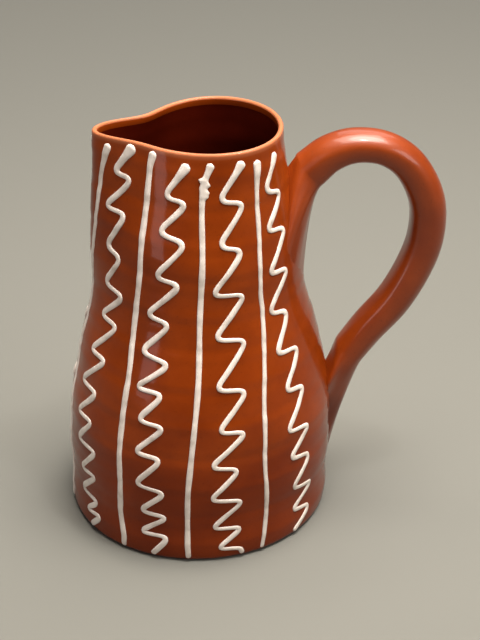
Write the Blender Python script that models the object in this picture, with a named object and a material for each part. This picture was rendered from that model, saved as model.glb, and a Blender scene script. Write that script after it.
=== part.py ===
"""A hand-thrown, glazed clay pitcher, in metres, +Z up.

The origin is the centre of the foot. The pouring spout points to -X and the handle to +X.
Azimuths are in degrees: 0 is the front (-Y), 90 the handle (+X) and -90 the spout (-X).
"""

import math

import bmesh
import bpy
from mathutils import Vector

# ---- Driving dimensions of the vessel -------------------------------------------------------

RIM_HEIGHT = 0.210

# Height, outer radius, and how far the axis leans toward the handle there.
PROFILE = (
    (0.000, 0.0687, 0.0000),
    (0.008, 0.0692, 0.0003),
    (0.021, 0.0685, 0.0007),
    (0.042, 0.0693, 0.0012),
    (0.067, 0.0673, 0.0020),
    (0.0945, 0.0609, 0.0030),
    (0.126, 0.0517, 0.0040),
    (0.1575, 0.0479, 0.0043),
    (0.185, 0.0430, 0.0047),
    (0.210, 0.0403, 0.0058),
)

FOOT_ROUND = 0.0035
LIP_THICKNESS = 0.0026
NECK_WALL = 0.0042
BASE_WALL = 0.0058
TAPER_HEIGHT = 0.160
FLOOR_THICKNESS = 0.0075
FLOOR_FILLET = 0.012

# The spout is a bulge of the wall, pinched in on both sides, where the rim dips a little.
SPOUT_REACH = 0.0191
SPOUT_WIDTH = math.radians(21.7)
SPOUT_START = 0.26
SPOUT_GROWTH = 1.65
# How far each side of the spout is pinched in, its angle from the spout, and its spread.
FAR_FLANK = (0.0044, math.radians(-39.7), math.radians(45.7))
NEAR_FLANK = (0.0095, math.radians(77.9), math.radians(39.4))
FLANK_START = 0.46
FLANK_GROWTH = 2.4
RIM_OVALITY = 0.0028
RIM_DIP = 0.0020

# ---- Driving dimensions of the handle -------------------------------------------------------

# The middle line of the strap between its two roots, (x, z) in the plane y = 0.
STRAP_LINE = (
    (0.0565, 0.1862),
    (0.0664, 0.1944),
    (0.0790, 0.1984),
    (0.0940, 0.1962),
    (0.1066, 0.1867),
    (0.1154, 0.1690),
    (0.1163, 0.1500),
    (0.1116, 0.1325),
    (0.1020, 0.1133),
    (0.0893, 0.0972),
    (0.0802, 0.0842),
)
STRAP_WIDTH = 0.0210
STRAP_THICKNESS = (0.0190, 0.0155, 0.0180, 0.0180, 0.0165)
OUTER_FULLNESS = 0.95
INNER_FULLNESS = 0.72

# The near half of each root's outline on the wall, from below the strap's outer side round
# to its inner side: (sideways, height).
UPPER_ROOT = (
    (0.0000, 0.1865),
    (0.0085, 0.1810),
    (0.0145, 0.1750),
    (0.0218, 0.1660),
    (0.0292, 0.1520),
    (0.0180, 0.1370),
    (0.0000, 0.1240),
)
LOWER_ROOT = (
    (0.0000, 0.0140),
    (0.0040, 0.0300),
    (0.0072, 0.0490),
    (0.0104, 0.0610),
    (0.0145, 0.0685),
    (0.0093, 0.0723),
    (0.0000, 0.0730),
)
# The far half reaches round the wall less than the near half.
FAR_SHARE = 0.6
# The pressed side of each root swells a little before it meets the wall.
ROOT_SWELL = 0.0018
ROOT_SPREAD = 0.0015
ROOT_FIRMNESS = 4.0
FIRM_FALLOFF = 0.7
# The soft side loses part of its lift off the wall and runs out along it.
UPPER_SOFTNESS = 0.75
LOWER_SOFTNESS = 0.35
ROOT_PULL = 0.4

JOINT_SLIP_THICKNESS = 0.0008
JOINT_SLIP_SPREAD = 0.0010
GAP = 0.0003

# ---- Driving dimensions of the slip trails --------------------------------------------------

TRAIL_GAP = 0.00035
TRAIL_RISE = 0.0007
# The flat top's share of a trail's width, and the share of its width left at each end.
TRAIL_CROWN = 0.55
TRAIL_END = 0.6
WAVE_WIDTH = 0.0028
LINE_WIDTH = 0.0028
# How far before and after each turn a wave starts to round it, at most this share of the limb.
WAVE_TURN = 0.0060
TURN_SHARE = 0.48
LINE_STEP = 0.010
LIMB_STEP = 0.006
# The blob where each trail starts: (width, length over which it narrows).
BLOBS = {
    "line_trail_1": (0.0032, 0.020),
    "line_trail_2": (0.0036, 0.020),
    "line_trail_3": (0.0036, 0.006),
    "line_trail_4": (0.0042, 0.020),
    "wave_trail_2": (0.0046, 0.010),
    "wave_trail_3": (0.0044, 0.010),
    "wave_trail_4": (0.0042, 0.008),
    "wave_trail_5": (0.0036, 0.008),
}
OTHER_BLOB = (0.0042, 0.008)
# Where the trailer clogged and left a knot: (height, half its length, extra width).
KNOT_TRAIL = "line_trail_3"
KNOT = (0.1935, 0.006, 0.0026)
MM = 0.001

# Each front trail in the order in which it was drawn, from the rim down to the foot:
# (azimuth in degrees, height in millimetres). A wave is given by its turns.
FRONT_WAVES = {
    "wave_trail_2": (
        (-61, 205), (-70.5, 192.5), (-56.5, 191.5), (-73.5, 174.5), (-56.5, 174), (-69.5, 155),
        (-56, 152), (-69, 135.5), (-51, 133.5), (-69, 118.5), (-52, 117.5), (-69.5, 99.5),
        (-54, 99.5), (-72, 81.5), (-55.5, 81.5), (-69.5, 65), (-55, 66), (-67.5, 50), (-51, 50.5),
        (-64, 34), (-51, 35.5), (-65, 20.5), (-50.5, 19.5), (-60, 10.5), (-48, 12.5), (-55, 4),
    ),
    "wave_trail_3": (
        (-16, 201), (-30.5, 187), (-11.5, 185.5), (-31.5, 170.5), (-11, 167), (-31, 149),
        (-13.5, 147), (-34.5, 129.5), (-18.5, 127), (-34.5, 111.5), (-17, 108), (-34, 94),
        (-18.5, 93.5), (-30.5, 78.5), (-16.5, 77.5), (-30.5, 61.5), (-17, 60.5), (-29.5, 43.5),
        (-15, 41.5), (-27.5, 27.5), (-14, 26.5), (-27.5, 14.5), (-13.5, 14.5), (-20.5, 3.5),
    ),
    "wave_trail_4": (
        (24, 203), (8.5, 186.5), (27, 185.5), (7.5, 165.5), (23.5, 163.5), (3, 142),
        (23.5, 141.5), (4, 120.5), (22.5, 119), (4.5, 96.5), (20.5, 95), (5.5, 75.5), (19, 74.5),
        (2.5, 57), (16, 55), (2.5, 38), (18, 36), (3.5, 20), (18, 19), (6, 7.5), (16.5, 6.5),
        (17.5, 3.5),
    ),
    "wave_trail_5": (
        (54, 202.5), (41.5, 187.5), (59.5, 184.5), (39.5, 168.5), (58, 167), (38, 147.5),
        (55.5, 147), (36.5, 127.5), (52, 125.5), (37.5, 107), (54.5, 106), (39.5, 87.5), (53, 86),
        (38, 66.5), (53, 65), (39.5, 50.5), (53.5, 47.5), (41.5, 31), (57, 27.5), (42.5, 16.5),
        (56, 13.5), (45.5, 3.5),
    ),
}
FRONT_LINES = {
    "line_trail_1": (
        (-74.5, 204), (-77.5, 190), (-78.5, 170.5), (-81, 151), (-83.5, 131.5), (-84, 95.5),
        (-81, 60), (-80, 30), (-80.5, 4),
    ),
    "line_trail_2": (
        (-43, 205), (-43.5, 198.5), (-42, 179.5), (-40.5, 150), (-41, 125), (-39.5, 110),
        (-38, 97), (-37.5, 70), (-36.5, 40), (-37, 22), (-35, 10), (-35, 3.5),
    ),
    "line_trail_3": (
        (3, 202.5), (-1, 194.5), (-2, 183), (-1.5, 159), (-3, 129.5), (-3, 98), (-5, 60),
        (-6, 40), (-6, 15), (-5.5, 3.5),
    ),
    "line_trail_4": (
        (36.5, 202), (35.5, 189), (34.5, 169.5), (33, 154.5), (32.5, 140), (33, 130), (31, 110),
        (28, 87), (27, 65), (27, 50), (28.5, 25), (27, 3.5),
    ),
}

# The trails on the spout and the back: (name, azimuth).
BACK_WAVES = (
    ("wave_trail_1", -97.5),
    ("wave_trail_6", 133.0),
    ("wave_trail_7", 165.0),
    ("wave_trail_8", 197.5),
    ("wave_trail_9", 230.0),
)
BACK_LINES = (
    ("line_trail_5", 149.0),
    ("line_trail_6", 181.0),
    ("line_trail_7", 214.0),
    ("line_trail_8", 246.5),
)
BACK_TOP = 203.0
BACK_BOTTOM = 3.5
BACK_TURNS = 22
# The swing of a back wave to each side, its unevenness, and the drift of its middle, in
# degrees; the fall of each cross stroke in millimetres; and how much each wave's turns close up
# and each stroke levels out by the time it reaches the foot.
BACK_SWING = 7.5
BACK_UNEVENNESS = 0.75
BACK_DRIFT = 1.5
BACK_STROKE = 7.5
BACK_CLOSING = 0.15
BACK_LEVELLING = 0.3

# ---- Mesh fineness --------------------------------------------------------------------------

WALL_SIDES = 60
FOOT_STEPS = 3
LIP_STEPS = 6
FLOOR_STEPS = 3
STRAP_SIDES = 32
STRAP_RINGS = 20
BLEND_RINGS = 5
PATCH_SCALES = (0.12, 0.30, 0.48, 0.66, 0.84)
LINE_STOPS = 9

OUTER_ROWS = (
    0.010, 0.020, 0.031, 0.042, 0.054, 0.066, 0.078, 0.090, 0.102, 0.114, 0.126, 0.138, 0.150,
    0.162, 0.173, 0.183, 0.192, 0.200,
)
INNER_ROWS = (
    0.200, 0.188, 0.174, 0.158, 0.142, 0.126, 0.110, 0.094, 0.078, 0.062, 0.046, 0.032,
)


# ---- The wall's shape -----------------------------------------------------------------------

def smooth_between(stations, at, column):
    """A value on the smooth curve through the stations' first column and another column."""
    last = len(stations) - 1

    def slope(index):
        before = stations[max(index - 1, 0)]
        after = stations[min(index + 1, last)]
        return (after[column] - before[column]) / (after[0] - before[0])

    index = 0
    while index < last - 1 and at > stations[index + 1][0]:
        index += 1
    low = stations[index]
    high = stations[index + 1]
    span = high[0] - low[0]
    t = (at - low[0]) / span
    value = (2 * t**3 - 3 * t**2 + 1) * low[column] + (3 * t**2 - 2 * t**3) * high[column]
    bend = (t**3 - 2 * t**2 + t) * slope(index) + (t**3 - t**2) * slope(index + 1)
    return value + span * bend


def angle_from_spout(azimuth):
    """Radians round the vessel from the middle of the spout, between -pi and pi."""
    turn = math.radians(azimuth + 90.0)
    return (turn + math.pi) % (2 * math.pi) - math.pi


def flank(turn, side):
    """How strongly one side of the spout is pinched in, from 0 to 1."""
    _depth, angle, spread = side
    return math.exp(-(((turn - angle) / spread) ** 2))


def rim_height(azimuth):
    turn = angle_from_spout(azimuth)
    return RIM_HEIGHT - RIM_DIP * (flank(turn, FAR_FLANK) + flank(turn, NEAR_FLANK))


def growth(share, start, power):
    """Zero below start, then rising to one at the rim."""
    return max((share - start) / (1.0 - start), 0.0) ** power


def outer_radius(azimuth, share):
    """The wall's outer radius at a share of the rim's height."""
    turn = angle_from_spout(azimuth)
    spout = SPOUT_REACH * math.exp(-((turn / SPOUT_WIDTH) ** 2))
    pinch = RIM_OVALITY * math.cos(2 * turn)
    for side in (FAR_FLANK, NEAR_FLANK):
        pinch += side[0] * flank(turn, side)
    radius = smooth_between(PROFILE, share * RIM_HEIGHT, 1)
    radius += growth(share, SPOUT_START, SPOUT_GROWTH) * spout
    return radius - growth(share, FLANK_START, FLANK_GROWTH) * pinch


def around_axis(azimuth, height, radius):
    """A point at a radius round the vessel's leaning axis."""
    lean = smooth_between(PROFILE, min(max(height, 0.0), RIM_HEIGHT), 2)
    turn = math.radians(azimuth)
    return Vector((lean + radius * math.sin(turn), -radius * math.cos(turn), height))


def on_wall(azimuth, height):
    """A point on the wall's outer face."""
    share = height / rim_height(azimuth)
    return around_axis(azimuth, height, outer_radius(azimuth, share))


def wall_normal(azimuth, height):
    side_step = 0.5
    up_step = 0.001
    along = on_wall(azimuth + side_step, height) - on_wall(azimuth - side_step, height)
    up = on_wall(azimuth, height + up_step) - on_wall(azimuth, height - up_step)
    return along.cross(up).normalized()


def off_wall(azimuth, height, gap):
    """A point at a gap outside the wall."""
    return on_wall(azimuth, height) + gap * wall_normal(azimuth, height)


def metres_per_degree(azimuth, height):
    """The wall's girth at a height, for each degree near an azimuth."""
    return (on_wall(azimuth + 0.5, height) - on_wall(azimuth - 0.5, height)).length


# ---- Building closed solids from rings ------------------------------------------------------

def lofted(name, rings, material, sharp_degrees=50.0):
    """One closed solid through a row of rings, with its first and last ring filled."""
    bm = bmesh.new()
    loops = []
    for ring in rings:
        corners = [bm.verts.new(point) for point in ring]
        edges = [bm.edges.new((corners[i - 1], corners[i])) for i in range(len(corners))]
        loops.append((corners, edges))
    for lower, upper in zip(loops, loops[1:]):
        bmesh.ops.bridge_loops(bm, edges=lower[1] + upper[1])
    bm.faces.new(loops[0][0])
    bm.faces.new(loops[-1][0])
    bmesh.ops.recalc_face_normals(bm, faces=bm.faces)
    mesh = bpy.data.meshes.new(name)
    bm.to_mesh(mesh)
    bm.free()
    mesh.shade_smooth()
    mesh.set_sharp_from_angle(angle=math.radians(sharp_degrees))
    mesh.materials.append(material)
    piece = bpy.data.objects.new(name, mesh)
    bpy.context.scene.collection.objects.link(piece)
    return piece


def finish_material(name, color, roughness, coat):
    material = bpy.data.materials.new(name)
    material.use_nodes = True
    shader = material.node_tree.nodes["Principled BSDF"]
    shader.inputs["Base Color"].default_value = (*color, 1.0)
    shader.inputs["Roughness"].default_value = roughness
    shader.inputs["Metallic"].default_value = 0.0
    shader.inputs["Coat Weight"].default_value = coat
    material.diffuse_color = (*color, 1.0)
    return material


# ---- The vessel -----------------------------------------------------------------------------

def wall_ring(point_at):
    return [point_at(360.0 * i / WALL_SIDES) for i in range(WALL_SIDES)]


def foot_rings():
    """The rounded edge between the flat foot and the wall."""
    rings = []
    for step in range(FOOT_STEPS + 1):
        rise = math.pi / 2 * step / FOOT_STEPS
        inset = FOOT_ROUND * (1.0 - math.sin(rise))
        height = FOOT_ROUND * (1.0 - math.cos(rise))

        def foot_point(azimuth, inset=inset, height=height):
            radius = outer_radius(azimuth, FOOT_ROUND / RIM_HEIGHT) - inset
            return around_axis(azimuth, height, radius)

        rings.append(wall_ring(foot_point))
    return rings


def lip_rings():
    """The rounded lip, from the outer face over the top to the inner face."""
    lip_radius = LIP_THICKNESS / 2
    rings = []
    for step in range(LIP_STEPS + 1):
        roll = math.pi * step / LIP_STEPS

        def lip_point(azimuth, roll=roll):
            height = rim_height(azimuth) - lip_radius
            share = height / rim_height(azimuth)
            radius = outer_radius(azimuth, share) - lip_radius + lip_radius * math.cos(roll)
            return around_axis(azimuth, height + lip_radius * math.sin(roll), radius)

        rings.append(wall_ring(lip_point))
    return rings


def wall_thickness(height):
    """Thick at the base, thinning to the neck and the lip."""
    taper = min(height / TAPER_HEIGHT, 1.0)
    thickness = BASE_WALL + (NECK_WALL - BASE_WALL) * taper
    near_lip = max((height - TAPER_HEIGHT) / (RIM_HEIGHT - TAPER_HEIGHT), 0.0)
    return thickness + (LIP_THICKNESS - NECK_WALL) * near_lip


def inner_point(azimuth, height, inset=0.0, drop=0.0):
    share = height / rim_height(azimuth)
    radius = outer_radius(azimuth, share) - wall_thickness(height) - inset
    return around_axis(azimuth, height - drop, radius)


def floor_rings():
    """The rounded corner between the inner wall and the floor."""
    top = FLOOR_THICKNESS + FLOOR_FILLET
    rings = []
    for step in range(FLOOR_STEPS + 1):
        sweep = math.pi / 2 * step / FLOOR_STEPS
        inset = FLOOR_FILLET * (1.0 - math.cos(sweep))
        drop = FLOOR_FILLET * math.sin(sweep)
        rings.append(wall_ring(lambda azimuth: inner_point(azimuth, top, inset, drop)))
    return rings


def make_vessel(material):
    rings = foot_rings()
    for height in OUTER_ROWS:
        rings.append(wall_ring(lambda azimuth: on_wall(azimuth, height)))
    rings += lip_rings()
    for height in INNER_ROWS:
        rings.append(wall_ring(lambda azimuth: inner_point(azimuth, height)))
    rings += floor_rings()
    return lofted("vessel_body", rings, material)


# ---- The handle and its two layers of joining slip ------------------------------------------

def curve_point(points, share):
    """A point on the smooth curve through evenly weighted points, share from 0 to 1."""
    last = len(points) - 1
    place = min(max(share, 0.0), 1.0) * last
    index = min(int(place), last - 1)
    t = place - index
    before = points[index - 1] if index > 0 else 2 * points[0] - points[1]
    start = points[index]
    end = points[index + 1]
    after = points[index + 2] if index + 2 <= last else 2 * points[last] - points[last - 1]
    bend = (end - before) * t + (2 * before - 5 * start + 4 * end - after) * t**2
    bend += (3 * start - before - 3 * end + after) * t**3
    return start + bend / 2


def strap_frame(share):
    """The strap's middle, its direction from the upper root, and its outward normal."""
    knots = [Vector((x, 0.0, z)) for x, z in STRAP_LINE]
    step = 0.004
    middle = curve_point(knots, share)
    ahead = curve_point(knots, share + step)
    behind = curve_point(knots, share - step)
    forward = (ahead - behind).normalized()
    return middle, forward, Vector((-forward.z, 0.0, forward.x))


def strap_ring(share):
    """A D-shaped section: round on its outer side, flatter on the side of the fingers."""
    middle, _forward, outward = strap_frame(share)
    knots = [Vector((size, 0.0, 0.0)) for size in STRAP_THICKNESS]
    half_thickness = curve_point(knots, share).x / 2
    ring = []
    for i in range(STRAP_SIDES):
        turn = 2 * math.pi * i / STRAP_SIDES
        fullness = OUTER_FULLNESS if math.cos(turn) > 0 else INNER_FULLNESS
        lift = math.copysign(abs(math.cos(turn)) ** fullness, math.cos(turn))
        side = math.copysign(abs(math.sin(turn)) ** fullness, math.sin(turn))
        offset = outward * (half_thickness * lift)
        ring.append(middle + offset + Vector((0.0, -side * STRAP_WIDTH / 2, 0.0)))
    return ring


def root_outline(outline, spread):
    """The root's outline as (sideways, height) pairs, all the way round from its first point."""
    half = [Vector((side, height, 0.0)) for side, height in outline]
    centre = (half[0] + half[-1]) / 2
    pairs = []
    for i in range(STRAP_SIDES):
        share = 2.0 * i / STRAP_SIDES
        point = curve_point(half, share if share <= 1.0 else 2.0 - share)
        side = point.x if share <= 1.0 else -FAR_SHARE * point.x
        away = Vector((side, point.y - centre.y))
        away += away.normalized() * spread
        pairs.append((away.x, centre.y + away.y))
    return pairs


def root_places(outline, scale=1.0, spread=0.0):
    """The root's outline as (azimuth, height) places, shrunk toward its middle by a scale."""
    middle = (outline[0][1] + outline[-1][1]) / 2
    places = []
    for side, height in root_outline(outline, spread):
        height = middle + (height - middle) * scale
        radius = smooth_between(PROFILE, height, 1)
        places.append((90.0 - math.degrees(side * scale / radius), height))
    return places


def root_ring(outline, gap, scale=1.0, spread=0.0):
    """The root's outline laid on the wall at a gap."""
    return [off_wall(*place, gap) for place in root_places(outline, scale, spread)]


def root_blend(outline, share, gap, pressed_side, softness):
    """Rings from the root on the wall to the strap's section at a share.

    The pressed side, 1 for the strap's outer side and -1 for its inner side, ends in a crisp
    edge, and the other side runs out along the wall.
    """
    _middle, forward, _outward = strap_frame(share)
    toward_strap = forward if share < 0.5 else -forward
    normals = [wall_normal(*place) for place in root_places(outline)]
    feet = root_ring(outline, gap)
    shoulders = root_ring(outline, gap + ROOT_SWELL, 1.0, ROOT_SPREAD)
    sections = strap_ring(share)
    strands = []
    for i, (foot, shoulder, normal, section) in enumerate(zip(feet, shoulders, normals, sections)):
        pressed = (1.0 + pressed_side * math.cos(2 * math.pi * i / STRAP_SIDES)) / 2
        firm = max(pressed, 0.0) ** FIRM_FALLOFF
        along = section - foot
        soft_pull = along - softness * along.dot(normal) * normal
        firm_pull = ROOT_FIRMNESS * (shoulder - foot)
        start_pull = soft_pull.lerp(firm_pull, firm)
        end_pull = toward_strap * along.length * ROOT_PULL
        strands.append((foot, section, start_pull, end_pull))
    rings = []
    for step in range(BLEND_RINGS):
        rings.append([strand_point(strand, step / BLEND_RINGS) for strand in strands])
    return rings


def strand_point(strand, t):
    """A point on the curve from one end of a strand to the other, t from 0 to 1."""
    start, end, start_pull, end_pull = strand
    point = (2 * t**3 - 3 * t**2 + 1) * start + (3 * t**2 - 2 * t**3) * end
    return point + (t**3 - 2 * t**2 + t) * start_pull + (t**3 - t**2) * end_pull


def make_handle(material):
    gap = GAP + JOINT_SLIP_THICKNESS + GAP
    rings = [root_ring(UPPER_ROOT, gap, scale) for scale in PATCH_SCALES]
    rings += root_blend(UPPER_ROOT, 0.0, gap, 1, UPPER_SOFTNESS)
    rings += [strap_ring(step / STRAP_RINGS) for step in range(STRAP_RINGS + 1)]
    rings += reversed(root_blend(LOWER_ROOT, 1.0, gap, -1, LOWER_SOFTNESS))
    rings += [root_ring(LOWER_ROOT, gap, scale) for scale in reversed(PATCH_SCALES)]
    return lofted("handle", rings, material)


def make_joint_slip(name, outline, material):
    """A thin layer of slip between a root and the wall, squeezed out a little all round."""
    top = GAP + JOINT_SLIP_THICKNESS
    rings = [root_ring(outline, GAP, scale) for scale in PATCH_SCALES]
    rings.append(root_ring(outline, GAP, 1.0, JOINT_SLIP_SPREAD))
    rings.append(root_ring(outline, top, 1.0, JOINT_SLIP_SPREAD / 2))
    rings += [root_ring(outline, top, scale) for scale in reversed(PATCH_SCALES)]
    return lofted(name, rings, material)


# ---- The slip trails ------------------------------------------------------------------------

def span_between(first, second):
    """The distance across the wall between two (azimuth, height in millimetres) places."""
    return (on_wall(second.x, second.y * MM) - on_wall(first.x, first.y * MM)).length


def wave_path(turns):
    """The middle of a wave: its turns rounded off, with a point part-way down each limb."""
    corners = [Vector(turn) for turn in turns]
    path = [corners[0]]
    for before, corner, after in zip(corners, corners[1:], corners[2:]):
        enter = corner.lerp(before, min(WAVE_TURN / span_between(before, corner), TURN_SHARE))
        leave = corner.lerp(after, min(WAVE_TURN / span_between(corner, after), TURN_SHARE))
        add_limb(path, enter)
        path.append((enter + 2 * corner + leave) / 4)
        path.append(leave)
    add_limb(path, corners[-1])
    return path


def add_limb(path, end):
    """Carry the path on to a point, in steps short enough to follow the wall."""
    start = path[-1]
    steps = max(1, round(span_between(start, end) / LIMB_STEP))
    for step in range(1, steps + 1):
        path.append(start.lerp(end, step / steps))


def line_path(stops):
    """The middle of a straight trail, a smooth curve through its stops."""
    points = [Vector((azimuth, height, 0.0)) for azimuth, height in stops]
    steps = round((stops[0][1] - stops[-1][1]) * MM / LINE_STEP)
    return [curve_point(points, step / steps).xy for step in range(steps + 1)]


def with_ends(path, start_width, end_width):
    """The path carried on at both ends by half of the trail's width there."""
    before = path[0] + (path[0] - path[1]) * start_width / 2 / span_between(path[0], path[1])
    after = path[-1] + (path[-1] - path[-2]) * end_width / 2 / span_between(path[-1], path[-2])
    return [before, *path, after]


def knot_width(name, height):
    middle, half_length, extra = KNOT
    if name != KNOT_TRAIL:
        return 0.0
    return extra * math.exp(-(((height - middle) / half_length) ** 2))


def trail_rings(name, path, width):
    """Rings of four points along a path: two by the wall and two on the trail's top."""
    blob, narrowing = BLOBS.get(name, OTHER_BLOB)
    path = with_ends(path, blob, width)
    last = len(path) - 1
    rings = []
    travelled = 0.0
    for index, place in enumerate(path):
        before = path[max(index - 1, 0)]
        after = path[min(index + 1, last)]
        travelled += span_between(before, place)
        height = place.y * MM
        girth = metres_per_degree(place.x, height)
        along = Vector(((after.x - before.x) * girth, (after.y - before.y) * MM)).normalized()
        swell = math.exp(-((travelled / narrowing) ** 2))
        half = (width + (blob - width) * swell + knot_width(name, height)) / 2
        if index in (0, last):
            half *= TRAIL_END
        ring = []
        for share, rise in (
            (-1.0, 0.0), (-TRAIL_CROWN, TRAIL_RISE), (TRAIL_CROWN, TRAIL_RISE), (1.0, 0.0),
        ):
            offset = half * share
            corner = (place.x - along.y * offset / girth, height + along.x * offset)
            ring.append(off_wall(*corner, TRAIL_GAP + rise))
        rings.append(ring)
    return rings


def back_height(share):
    return BACK_TOP + (BACK_BOTTOM - BACK_TOP) * share


def back_drift(azimuth, share):
    """How far a trail round the back strays sideways on its way down."""
    return BACK_DRIFT * math.sin(4.0 * share + azimuth)


def back_wave(azimuth):
    """The turns of a wave on the spout or the back, tighter toward the foot."""
    turns = [(azimuth + BACK_SWING / 2, BACK_TOP)]
    for index in range(1, BACK_TURNS):
        share = index / BACK_TURNS
        height = back_height(share + BACK_CLOSING * share * (1.0 - share))
        side = 1 if index % 2 == 0 else -1
        swing = BACK_SWING * (1.0 - BACK_CLOSING * share)
        swing += BACK_UNEVENNESS * math.sin(5.0 * index + azimuth)
        stroke = BACK_STROKE * (1.0 - BACK_LEVELLING * share)
        middle = azimuth + back_drift(azimuth, share)
        turns.append((middle + side * swing, height + side * stroke / 2))
    turns.append((azimuth, BACK_BOTTOM))
    return turns


def back_line(azimuth):
    stops = []
    for index in range(LINE_STOPS):
        share = index / (LINE_STOPS - 1)
        stops.append((azimuth + back_drift(azimuth, share), back_height(share)))
    return stops


def make_trails(material):
    waves = dict(FRONT_WAVES)
    waves.update((name, back_wave(azimuth)) for name, azimuth in BACK_WAVES)
    lines = dict(FRONT_LINES)
    lines.update((name, back_line(azimuth)) for name, azimuth in BACK_LINES)
    for name, turns in waves.items():
        lofted(name, trail_rings(name, wave_path(turns), WAVE_WIDTH), material)
    for name, stops in lines.items():
        lofted(name, trail_rings(name, line_path(stops), LINE_WIDTH), material)


def clear_scene():
    for piece in list(bpy.data.objects):
        bpy.data.objects.remove(piece, do_unlink=True)


def main():
    clear_scene()
    red_clay = finish_material("glazed_red_clay", (0.26, 0.055, 0.012), 0.28, 1.0)
    joint_slip = finish_material("joining_slip", (0.22, 0.045, 0.010), 0.35, 1.0)
    white_slip = finish_material("white_slip", (0.80, 0.76, 0.68), 0.30, 0.6)
    make_vessel(red_clay)
    make_handle(red_clay)
    make_joint_slip("upper_handle_slip", UPPER_ROOT, joint_slip)
    make_joint_slip("lower_handle_slip", LOWER_ROOT, joint_slip)
    make_trails(white_slip)


main()
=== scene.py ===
"""The looks of the glazed clay pitcher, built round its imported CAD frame, in metres.

Azimuths are in degrees: 0 is the front (-Y), 90 the handle (+X) and -90 the spout (-X).
"""

import math

import bpy
import numpy as np
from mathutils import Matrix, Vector


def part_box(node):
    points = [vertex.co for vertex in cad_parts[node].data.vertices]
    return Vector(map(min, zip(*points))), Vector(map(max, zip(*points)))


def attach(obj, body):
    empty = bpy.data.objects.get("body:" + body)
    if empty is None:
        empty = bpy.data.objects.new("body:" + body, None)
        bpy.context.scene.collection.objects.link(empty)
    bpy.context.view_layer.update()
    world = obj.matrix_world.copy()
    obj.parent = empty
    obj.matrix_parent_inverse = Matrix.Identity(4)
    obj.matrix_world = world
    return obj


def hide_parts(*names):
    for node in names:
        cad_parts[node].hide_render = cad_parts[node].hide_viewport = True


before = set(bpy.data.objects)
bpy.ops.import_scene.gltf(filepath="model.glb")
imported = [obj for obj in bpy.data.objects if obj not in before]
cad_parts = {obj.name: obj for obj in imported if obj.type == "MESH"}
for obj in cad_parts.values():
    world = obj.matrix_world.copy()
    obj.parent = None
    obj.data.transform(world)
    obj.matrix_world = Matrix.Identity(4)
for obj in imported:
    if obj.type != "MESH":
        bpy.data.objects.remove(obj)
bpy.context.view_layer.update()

MM = 0.001

# ---- The vessel's shape, as in the CAD but for the traces of throwing -------------------------

RIM_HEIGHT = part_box("vessel_body")[1].z

# Height, outer radius, and how far the axis leans toward the handle there.
PROFILE = np.array((
    (0.000, 0.0687, 0.0000),
    (0.008, 0.0692, 0.0003),
    (0.021, 0.0685, 0.0007),
    (0.042, 0.0693, 0.0012),
    (0.067, 0.0673, 0.0020),
    (0.0945, 0.0609, 0.0030),
    (0.126, 0.0517, 0.0040),
    (0.1575, 0.0479, 0.0043),
    (0.185, 0.0430, 0.0047),
    (0.210, 0.0403, 0.0058),
))

FOOT_ROUND = 0.0035
LIP_THICKNESS = 0.0026
# How far below the rim the paler colour of the lip has mostly faded: partly glaze running thin
# over the edge, partly a painted sheen where light catches the lip's top.
LIP_FADE = 0.0015
NECK_WALL = 0.0042
BASE_WALL = 0.0058
# The wall thins from the base up to this height, and then toward the lip.
TAPER_HEIGHT = 0.16
FLOOR_THICKNESS = 0.0075
FLOOR_FILLET = 0.012

SPOUT_REACH = 0.0191
SPOUT_WIDTH = math.radians(21.7)
SPOUT_START = 0.26
SPOUT_GROWTH = 1.65
# How far each side of the spout is pinched in, its angle from the spout, and its spread.
FAR_FLANK = (0.0044, math.radians(-39.7), math.radians(45.7))
NEAR_FLANK = (0.0095, math.radians(77.9), math.radians(39.4))
FLANK_START = 0.46
FLANK_GROWTH = 2.4
RIM_OVALITY = 0.0028
RIM_DIP = 0.0020

# Faint traces of throwing: (depth, waves round the wall, waves up the wall, phase).
WALL_WAVER = (
    (0.00016, 2, 5.5, 0.4),
    (0.00012, 3, 8.0, 2.1),
    (0.00007, 1, 19.0, 1.2),
    (0.00005, 1, 31.0, 4.4),
)
# They fade out over this lowest share of the wall.
WAVER_FADE = 0.05

# ---- The handle's shape: the strap and the roots' outlines as in the CAD ----------------------

STRAP_LINE = np.array((
    (0.0565, 0.0, 0.1862),
    (0.0664, 0.0, 0.1944),
    (0.0790, 0.0, 0.1984),
    (0.0940, 0.0, 0.1962),
    (0.1066, 0.0, 0.1867),
    (0.1154, 0.0, 0.1690),
    (0.1163, 0.0, 0.1500),
    (0.1116, 0.0, 0.1325),
    (0.1020, 0.0, 0.1133),
    (0.0893, 0.0, 0.0972),
    (0.0802, 0.0, 0.0842),
))
STRAP_WIDTH = 0.0210
STRAP_THICKNESS = np.array((0.0190, 0.0155, 0.0180, 0.0180, 0.0165))
# The power that shapes the strap's section: 1 is an ellipse and less is squarer. It drops by
# the second value toward the side of the fingers.
OUTER_ROUNDNESS = 0.95
ROUNDNESS_DROP = 0.23

# Half of each root's outline on the wall, from below the strap's outer side round to its
# inner side: (sideways, height).
UPPER_ROOT = np.array((
    (0.0000, 0.1865),
    (0.0085, 0.1810),
    (0.0145, 0.1750),
    (0.0218, 0.1660),
    (0.0292, 0.1520),
    (0.0180, 0.1370),
    (0.0000, 0.1240),
))
LOWER_ROOT = np.array((
    (0.0000, 0.0140),
    (0.0040, 0.0300),
    (0.0072, 0.0490),
    (0.0104, 0.0610),
    (0.0145, 0.0685),
    (0.0093, 0.0723),
    (0.0000, 0.0730),
))
ROOT_PULL = 0.4
# The pressed side of each root swells a little before it meets the wall.
ROOT_SWELL = 0.0018
ROOT_SPREAD = 1.09
ROOT_FIRMNESS = 4.0
FIRM_FALLOFF = 0.7
# The far side of each root reaches round the wall less than the near side.
FAR_SHARE = 0.6
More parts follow.
